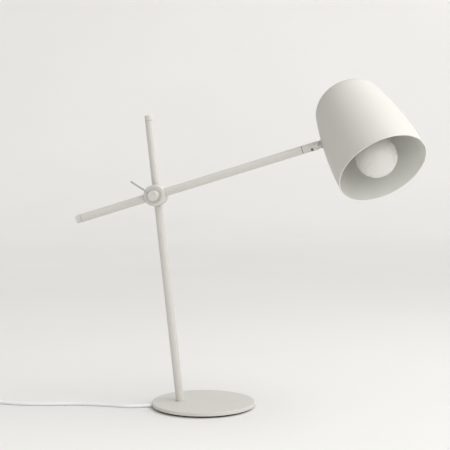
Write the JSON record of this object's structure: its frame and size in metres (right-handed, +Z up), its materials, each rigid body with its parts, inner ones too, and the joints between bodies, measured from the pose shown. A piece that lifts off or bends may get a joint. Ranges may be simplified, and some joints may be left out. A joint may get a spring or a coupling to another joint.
{
  "type": "swing arm desk lamp",
  "caption": "Desk lamp with a round base, leaning post, arm clamped by a lever knob, and a bullet-shaped shade that swivels and tilts on the arm's end.",
  "frame": {"origin": "on the table under the middle of the round base", "axes": "+X towards the shade, +Z up, -Y the side with the clamp knob"},
  "size_m": [0.7616, 0.1873, 0.4745],
  "materials": {
    "frame_paint": "matte off-white powder coat",
    "shade_paint": "matte off-white powder coat on spun aluminium",
    "washer_steel": "brushed",
    "knob_paint": "off-white powder coat with a polished edge",
    "screw_steel": "zinc plated",
    "friction_plastic": "dark friction disc",
    "bush_plastic": "dark nylon",
    "pad_rubber": "dark rubber",
    "cord_plastic": "white sheath",
    "boot_rubber": "white rubber",
    "tie_plastic": "white strap",
    "switch_plastic": "white",
    "plug_plastic": "white",
    "pin_brass": "nickel plated",
    "holder_plastic": "white",
    "insert_ceramic": "white insulating insert",
    "thread_brass": "plain",
    "bulb_glass": "frosted opal",
    "bulb_cap_metal": "plain",
    "core_plastic": "insulated cores"
  },
  "bodies": {
    "base": {"base_plate": "frame_paint", "base_pad": "pad_rubber", "post_tube": "frame_paint", "post_cap": "frame_paint", "post_block": "frame_paint", "post_set_screw": "screw_steel", "friction_disc": "friction_plastic", "rear_nut": "frame_paint", "post_leads": "core_plastic", "cord_boot": "boot_rubber", "cord_lead": "cord_plastic", "cord_middle": "cord_plastic", "cord_tail": "cord_plastic", "cord_coil": "cord_plastic", "coil_tie": "tie_plastic", "switch_base": "switch_plastic", "switch_cover": "switch_plastic", "switch_screws": "screw_steel", "switch_terminals": "thread_brass", "plug_body": "plug_plastic", "plug_pins": "pin_brass"},
    "clamp": {"clamp_knob": "knob_paint", "clamp_screw": "screw_steel", "clamp_lever": "knob_paint"},
    "arm": {"thrust_washer": "washer_steel", "arm_block": "frame_paint", "arm_set_screw": "screw_steel", "arm_tube": "frame_paint", "arm_cap": "frame_paint", "arm_bush": "bush_plastic", "arm_leads": "core_plastic"},
    "swivel": {"swivel_sleeve": "frame_paint", "swivel_nut": "screw_steel", "knuckle_screw": "screw_steel", "knuckle_nut": "screw_steel", "sleeve_leads": "core_plastic"},
    "head": {"shade": "shade_paint", "shade_stud": "frame_paint", "stud_saddle": "bush_plastic", "stud_nut": "screw_steel", "holder_bracket": "screw_steel", "holder_nipple": "thread_brass", "holder_nut": "screw_steel", "holder_cap": "holder_plastic", "holder_body": "holder_plastic", "holder_insert": "insert_ceramic", "holder_contact": "thread_brass", "holder_thread": "thread_brass", "bulb_glass": "bulb_glass", "bulb_cap": "bulb_cap_metal", "bulb_tip": "insert_ceramic", "shade_leads": "core_plastic"},
    "rocker": {"switch_rocker": "switch_plastic"}
  },
  "joints": [
    {"name": "arm_tilt", "type": "hinge", "parent": "base", "child": "arm", "pos_m": [-0.06722, 0, 0.30923], "axis": [0, -1, 0], "range_deg": [-45, 58]},
    {"name": "head_swivel", "type": "hinge", "parent": "arm", "child": "swivel", "pos_m": [0.16121, -0.018, 0.3795], "axis": [0.9558, 0, 0.294], "range_deg": [-114, 186]},
    {"name": "head_tilt", "type": "hinge", "parent": "swivel", "child": "head", "pos_m": [0.16121, -0.018, 0.3795], "axis": [-0.1724, -0.81, 0.5605], "range_deg": [-50, 50]},
    {"name": "lever_turn", "type": "hinge", "parent": "base", "child": "clamp", "pos_m": [-0.06722, 0, 0.30923], "axis": [0, -1, 0], "range_deg": [0, 180]},
    {"name": "switch_rock", "type": "hinge", "parent": "base", "child": "rocker", "pos_m": [-0.338, -0.02, 0.0144], "axis": [0, 1, 0], "range_deg": [0, 16]}
  ]
}
